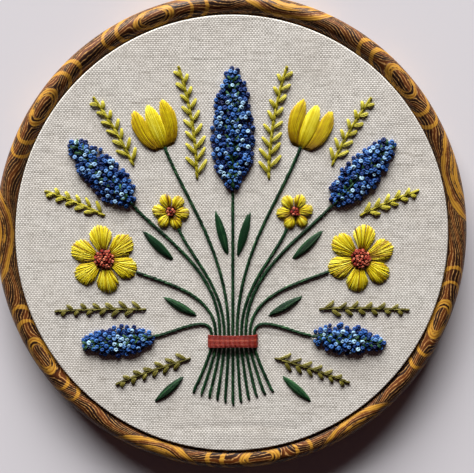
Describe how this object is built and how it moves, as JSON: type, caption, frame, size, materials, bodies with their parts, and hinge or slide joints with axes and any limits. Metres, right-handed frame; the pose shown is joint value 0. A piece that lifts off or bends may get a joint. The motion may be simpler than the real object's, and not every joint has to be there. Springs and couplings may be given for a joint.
{
  "type": "hoop embroidery art with its embroidery hoop",
  "caption": "Round linen cloth stretched in a wood-look flexible embroidery hoop, stitched with a mirrored posy of knotted blue spikes, yellow blossoms, cup flowers and leafy sprigs.",
  "frame": {"origin": "centre of the hoop, on the plane of its flat back, which is what it lies on", "axes": "+Z out of the stitched face, +Y towards the top of the stitched design, +X to its right as seen from the front"},
  "size_m": [0.176, 0.1782, 0.0117],
  "materials": {
    "wood_print_vinyl": "satin moulded vinyl printed in two tones like wood",
    "ring_plastic": "plain rigid plastic, satin",
    "linen": "natural undyed plain weave, matt",
    "blue_thread": "stranded cotton, soft sheen",
    "yellow_thread": "stranded cotton, soft sheen",
    "rust_thread": "stranded cotton, soft sheen",
    "dark_green_thread": "stranded cotton, soft sheen",
    "olive_thread": "stranded cotton, soft sheen",
    "lime_thread": "stranded cotton, soft sheen"
  },
  "bodies": {
    "root": {"blade_centre_left": "dark_green_thread", "blade_centre_right": "dark_green_thread", "blade_foot_left": "dark_green_thread", "blade_foot_right": "dark_green_thread", "blade_side_left": "dark_green_thread", "blade_side_right": "dark_green_thread", "blade_waist_left": "dark_green_thread", "blade_waist_right": "dark_green_thread", "cloth": "linen", "fern_hip_left": "lime_thread", "fern_hip_right": "lime_thread", "fern_shoulder_left": "lime_thread", "fern_shoulder_right": "lime_thread", "fern_top_left": "lime_thread", "fern_top_right": "lime_thread", "hyacinth_low_left": "blue_thread", "hyacinth_low_right": "blue_thread", "hyacinth_side_left": "blue_thread", "hyacinth_side_right": "blue_thread", "hyacinth_top": "blue_thread", "inner_hoop": "ring_plastic", "outer_hoop": "wood_print_vinyl", "primrose_left": "yellow_thread", "primrose_left_eye": "rust_thread", "primrose_right": "yellow_thread", "primrose_right_eye": "rust_thread", "primrose_small_left": "yellow_thread", "primrose_small_left_eye": "rust_thread", "primrose_small_right": "yellow_thread", "primrose_small_right_eye": "rust_thread", "stem_hyacinth_low_left": "dark_green_thread", "stem_hyacinth_low_right": "dark_green_thread", "stem_hyacinth_side_left": "dark_green_thread", "stem_hyacinth_side_right": "dark_green_thread", "stem_hyacinth_top": "dark_green_thread", "stem_primrose_left": "dark_green_thread", "stem_primrose_right": "dark_green_thread", "stem_primrose_small_left": "dark_green_thread", "stem_primrose_small_right": "dark_green_thread", "stem_tulip_left": "dark_green_thread", "stem_tulip_right": "dark_green_thread", "tie": "rust_thread", "tulip_left": "yellow_thread", "tulip_right": "yellow_thread", "twig_low_left": "olive_thread", "twig_low_right": "olive_thread", "twig_waist_left": "olive_thread", "twig_waist_right": "olive_thread"}
  },
  "joints": []
}
